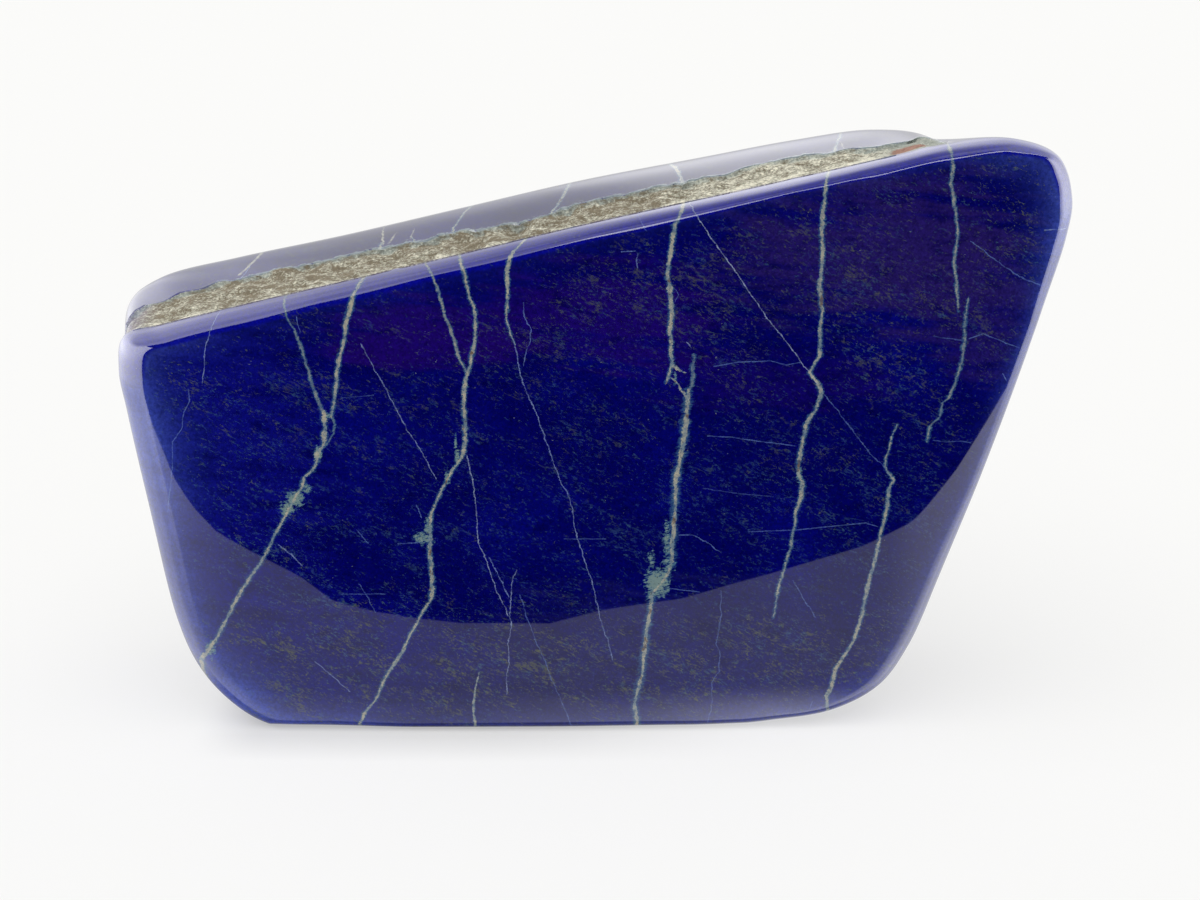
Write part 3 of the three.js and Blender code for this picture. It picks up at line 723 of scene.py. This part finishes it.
    # the unpolished strip: brown and grey patches drawn out along it, creamier near the lip and to the
    # right, a stain at its right end, a thin grey fringe along its rear border and a painted highlight along
    # the lip
    rough, behind, past = (g.attribute(name) for name in ("rough", "behindStrip", "pastLip"))
    tone = g.stir(n.stripCloud, 1.5, g.stir(n.speckle, 1.3, .5))
    tone = g.add(tone, g.add(g.ramp(past, 0, 10, .22, -.05), g.ramp(x, 20, 45, 0, .14)))
    stripColor = paint(tints["stripBrown"], g.ramp(tone, .4, .55), "stripGrey")
    stripColor = paint(stripColor, g.ramp(tone, .58, .8), "stripCream")
    stripColor = lightness(stripColor, n.broken, .3, .7, .8, 1.12)
    stripColor = paint(stripColor, g.ramp(x, 88, 104, 0, .75), "stripEnd")
    stain = g.stir(n.speckle, 1.6, g.ellipse(x, past, finish["stainSpot"]))
    stripColor = paint(stripColor, g.ramp(stain, 0, .6, 0, .8), "stain")
    edge = g.stir(n.stripCloud, 9, behind)
    stripColor = paint(stripColor, g.ramp(edge, -2, .2, 0, .5), "fringe")
    fringe = g.times(g.ramp(behind, 0, 1.6, 1, 0), g.ramp(behind, -1.2, -.6))
    fringe = g.stir(n.speckle, 2.4, g.stir(n.stripCloud, 3, fringe))
    fringe = g.times(g.ramp(fringe, .3, .95, 0, .7), g.ramp(x, -130, -110))
    fringe = g.times(fringe, g.times(g.ramp(behind, -2.6, -1.2), g.ramp(behind, 1.6, 3.6, 1, 0)))
    color = paint(color, fringe, "fringe")
    ending = g.ramp(x, -153, -136, .5, 1)
    stripMask = g.ramp(g.stir(n.speckle, .8, rough), .3, .6, 0, ending)
    color = g.blend(stripMask, color, stripColor)
    # painted highlight: a pale line along the strip's lip, where its rounded edge would mirror the bright
    # room
    paintedLipHighlight = g.times(g.ramp(past, .3, .7, 1, 0), g.ramp(past, 0, .2))
    color = paint(color, g.times(paintedLipHighlight, g.ramp(rough, .2, .6, 0, .7)), "paintedLipHighlight")

    gloss = g.ramp(n.smear, .3, .75, finish["polish"], finish["polish"] * 2)
    roughness = g.between(stripMask, gloss, finish["stripRoughness"])
    pebbles = g.node("TexVoronoi", Vector=scaled(place, finish["pebbleSize"]), Scale=1)
    relief = g.timesPlus(pebbles.outputs["Distance"], -.4, g.times(n.speckle, .5))
    relief = g.times(relief, g.ramp(rough, .3, .7))
    bump = g.node("Bump", Height=relief, Strength=.7, Distance=finish["pebbleHeight"] * mm)
    g.give(shader, Base_Color=color, Roughness=roughness, IOR=finish["ior"], Normal=bump.outputs[0])
    print("lapis:", len(g.tree.nodes), "nodes")
    return material


stone.data.materials.append(makeLapis(lapisFinish))
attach(stone, "root")
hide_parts("lapis_stone")


# What the polish mirrors is given by direction: degrees to the right of -Y, and degrees of height.
studio = {
    "white": (.985, .985, .97, 1), "backdrop": (.975, .973, .957, 1), "daylight": .52, "sideLight": .45,
    "lampFrom": (-.15, -.45, 1.3), "lampSpread": 70, "lampPower": 2,
    # the paper in metres: middle and bend of the foot's outline, its middle, half length and half depth,
    # where the mirrored paper, the shade and the glare start and end, and the glare's share under the foot
    "floor": (.94, .935, .91, 1), "floorGlow": .3, "paperShare": .3, "paperGlow": .615, "footShade": .72,
    "footBend": (-.035, .2), "footSize": (-.02, .1, .04), "mirrorEnd": (.004, .042),
    "shadeFront": (.0445, .062), "shadeLeft": (-.13, -.105), "shadeRight": (-.04, .07),
    "glareStart": (.0425, .0455), "underFoot": .2,
    # glare of the paper near the foot, by x in metres
    "nearGlare": [
        (-.13, 2.2), (-.105, 1.9), (-.085, 1.6), (-.045, 1.3), (-.015, 1.9), (.02, 2.3), (.045, 3.5),
        (.065, 4.4), (.09, 4), (.12, 3)],
    # light of the room at four heights by direction: the ground below the horizon, the walls and the
    # ceiling, and the degrees of height over which each goes into the next
    "horizon": (-24, 6), "wallMiddle": (25, 46), "wallTop": (54, 72),
    "ground": [
        (-180, .55), (-160, .6), (-145, 1), (-135, 1.3), (-120, 1.9), (-105, 2.4), (-90, 3), (-75, 3.4),
        (-50, 2.5), (-32, 2.1), (-17.5, 1.4), (-14, .9), (-8, .82), (8, .82), (15, .95), (17, 1.9),
        (20, 2.4), (26, 2.8), (45, 3.7), (60, 4), (90, 4.2), (105, 3), (120, 2), (135, 1.5), (150, .95),
        (165, .55), (180, .55)],
    "lowWalls": [
        (-180, .95), (-165, .8), (-160, 1), (-155, 1.8), (-150, 2.1), (-135, 4.2), (-120, 6.5), (-105, 8.3),
        (-90, 9.4), (-60, 9.4), (-45, 8.5), (-22, 7.5), (-16, 1.3), (16, 1.3), (18, 2.2), (24, 5), (35, 7),
        (45, 9), (60, 10.8), (75, 10), (90, 8.6), (105, 5.9), (120, 3.9), (135, 2.1), (150, 1.5), (165, .9),
        (180, .95)],
    "highWalls": [
        (-180, .85), (-165, 1), (-152, 1.5), (-145, 2.3), (-133, 3), (-120, 3.5), (-105, 3.7), (-75, 3.4),
        (-45, 3.9), (-30, 3.5), (30, 1.9), (60, 3), (90, 3.6), (120, 2.5), (135, 2), (150, 1.6), (165, 1.7),
        (176, 1.4), (180, .85)],
    "ceiling": [
        (-180, .9), (-150, .8), (-120, 1.4), (-90, 2.2), (-60, 1.9), (-40, 1.8), (-20, .8), (0, .55),
        (20, 1.4), (40, 2), (70, 2.2), (120, 2.1), (150, 1.3), (180, .9)],
    # more light of the wall behind, by direction, and the degrees of height where it starts and ends
    "glowStart": (2, 26), "glowEnd": (36, 60),
    "backGlow": [
        (-180, 2), (-176, 1.85), (-173, 1.3), (-171, .75), (-166, .5), (-160, .4), (-150, .25), (-140, 0),
        (140, 0), (150, .6), (165, 1), (176, 1.7), (180, 2)],
    # the dark side of the room in front: its lower rim and its top by direction, and its strength
    "darkRim": [
        (-50, 42), (-45, 38), (-37, 30), (-30, 20), (-26, 14), (-23, 8), (-20.6, 2), (-20.4, -4),
        (-19.2, -6.5), (-18.3, -9.2), (-17.7, -11), (-16.9, -12.3), (-16, -13.4), (-14.8, -14.2),
        (-12.3, -15.7), (-10.8, -17), (-8.8, -17.6), (-4.9, -18.2), (-.6, -18.3), (2.1, -17.6), (5.8, -17),
        (9.8, -15.8), (14.2, -14.3), (16.4, -13.1), (17.2, -12.1), (18.3, -10.5), (19.5, -8.3), (20.6, -6.2),
        (21.5, -3.1), (22.6, 1), (23.6, 5), (27, 14), (36, 22), (48, 29), (60, 44)],
    "darkTop": [
        (-56, 37), (-37, 37), (-30, 37.5), (-25, 40), (-16, 45), (-10, 47), (-4, 52), (2, 60), (20, 60),
        (45, 50), (60, 38)],
    "dusk": .01,
    # a bright slot high in front: its lowest and highest degree by direction, its two ends and its strength
    "slotFoot": [(-22, 55), (-20, 50), (-10, 40), (0, 22), (10, 18), (18, 18), (26, 39), (60, 39)],
    "slotHead": [(-22, 55), (-20, 57), (-10, 54), (0, 44), (10, 40), (18, 42), (26, 50), (60, 50)],
    "slotLeft": (-22, -14), "slotRight": (40, 60), "slotPower": 8,
    "cameraAt": (5.75, -580, 273.5), "cameraPitch": 18, "lens": 54, "sensor": 36,
}


# The room that the polish mirrors, as its strength in each direction: bands of light at four heights, a glow
# on the wall behind, the dark side in front between its rim and its top, and the thin bright slot. The lens
# sees the plain backdrop, and everything else is lit by soft daylight that grows towards the sides.
def makeWorld(room):
    world = bpy.data.worlds.new("studioRoom")
    bpy.context.scene.world = world
    world.use_nodes = True
    g = Graph(world.node_tree)
    g.tree.nodes.clear()
    east, north, up = g.node("SeparateXYZ", Vector=g.node("TexCoord").outputs["Generated"]).outputs
    side = g.calc("DEGREES", g.calc("ARCTAN2", east, g.times(north, -1)))
    rise = g.calc("DEGREES", g.calc("ARCSINE", up))
    band = lambda name: g.track(side, room[name])

    def within(foot, head, footSoft, headSoft):
        over, under = g.minus(rise, band(foot)), g.minus(band(head), rise)
        return g.times(g.ramp(over, -footSoft, footSoft), g.ramp(under, -headSoft, headSoft))

    seen = g.ramp(rise, *room["horizon"], band("ground"), band("lowWalls"))
    seen = g.between(g.ramp(rise, *room["wallMiddle"]), seen, band("highWalls"))
    seen = g.between(g.ramp(rise, *room["wallTop"]), seen, band("ceiling"))
    glow = g.times(g.ramp(rise, *room["glowStart"]), g.ramp(rise, *room["glowEnd"], 1, 0))
    seen = g.timesPlus(glow, band("backGlow"), seen)
    seen = g.between(within("darkRim", "darkTop", .03, 2), seen, room["dusk"])
    slot = g.times(within("slotFoot", "slotHead", .5, .5), g.ramp(side, *room["slotLeft"]))
    slot = g.times(slot, g.ramp(side, *room["slotRight"], room["slotPower"], 0))
    mirrored = g.node("Background", Color=(1, 1, 1, 1), Strength=g.add(seen, slot)).outputs[0]
    across = g.calc("POWER", g.size(east), 2)
    daylight = g.timesPlus(across, room["sideLight"], room["daylight"])
    plain = g.node("Background", Color=room["white"], Strength=daylight).outputs[0]
    shown = g.node("Background", Color=room["backdrop"], Strength=1).outputs[0]
    rays = g.node("LightPath").outputs
    plain = g.choose(rays["Is Glossy Ray"], g.choose(rays["Is Camera Ray"], plain, shown), mirrored)
    g.feed(g.node("OutputWorld").inputs[0], plain)


# The paper lights the stone as bright matt paper. The lens sees it calmer, so that it keeps its tone and the
# shade at the foot shows: the paper's own glow falls to footShade of itself close to the front and back of
# the foot, and not beyond its ends. The polish mirrors the paper close to the stone, and the room beyond.
def makeFloor(room):
    bpy.ops.mesh.primitive_plane_add(size=12)
    floor = bpy.context.object
    floor.name = "floor"
    paper, g, shader = newMaterial("palePaper")
    rays = g.node("LightPath").outputs
    lens, gloss = rays["Is Camera Ray"], rays["Is Glossy Ray"]
    calm = [room["paperShare"]] * 3 + [1]
    x, y = g.node("SeparateXYZ", Vector=g.node("TexCoord").outputs["Object"]).outputs[:2]
    middle, bend = room["footBend"]
    edge = g.timesPlus(g.calc("POWER", g.minus(x, middle), 2), bend, g.size(y))
    shade = g.times(g.ramp(edge, *room["shadeFront"], 1, 0, "LINEAR"), g.ramp(x, *room["shadeRight"], 1, 0))
    shade = g.times(shade, g.ramp(x, *room["shadeLeft"]))
    glow = g.between(shade, room["paperGlow"], room["paperGlow"] * room["footShade"])
    g.give(shader, Base_Color=g.blend(lens, room["floor"], calm), Roughness=.9, Specular_IOR_Level=0,
           Emission_Color=room["backdrop"], Emission_Strength=g.between(lens, room["floorGlow"], glow))
    middle, length, depth = room["footSize"]
    sideways = g.calc("MAXIMUM", g.minus(g.size(g.minus(x, middle)), length), 0)
    forward = g.calc("MAXIMUM", g.minus(g.size(y), depth), 0)
    distance = g.calc("SQRT", g.add(g.times(sideways, sideways), g.times(forward, forward)))
    glare = g.times(g.track(x, room["nearGlare"]), g.ramp(edge, *room["glareStart"], room["underFoot"]))
    near = g.node("Emission", Color=room["white"], Strength=glare).outputs[0]
    shown = g.choose(gloss, shader.outputs[0], near)
    away = g.times(g.ramp(distance, *room["mirrorEnd"]), gloss)
    shown = g.choose(away, shown, g.node("BsdfTransparent").outputs[0])
    g.feed(g.tree.nodes["Material Output"].inputs[0], shown)
    floor.data.materials.append(paper)


# a soft light from everywhere within a wide cone, the same all over the floor
def makeLight(room):
    light = bpy.data.lights.new("overhead", "SUN")
    light.angle, light.energy = math.radians(room["lampSpread"]), room["lampPower"]
    lamp = bpy.data.objects.new("overhead", light)
    east, north, up = room["lampFrom"]
    lamp.rotation_euler = (math.atan2(math.hypot(east, north), up), 0, math.atan2(east, -north))
    lamp.visible_glossy = False
    bpy.context.collection.objects.link(lamp)


# a lens in front of the stone, turned down by its pitch
def makeCamera(room):
    lens = bpy.data.cameras.new("view")
    lens.lens, lens.sensor_width = room["lens"], room["sensor"]
    camera = bpy.data.objects.new("view", lens)
    camera.location = [v * mm for v in room["cameraAt"]]
    camera.rotation_euler = (math.radians(90 - room["cameraPitch"]), 0, 0)
    bpy.context.collection.objects.link(camera)
    bpy.context.scene.camera = camera


for make in (makeWorld, makeFloor, makeLight, makeCamera):
    make(studio)
bpy.context.scene.view_settings.view_transform = "Standard"
print("studio: room, paper, light and camera")
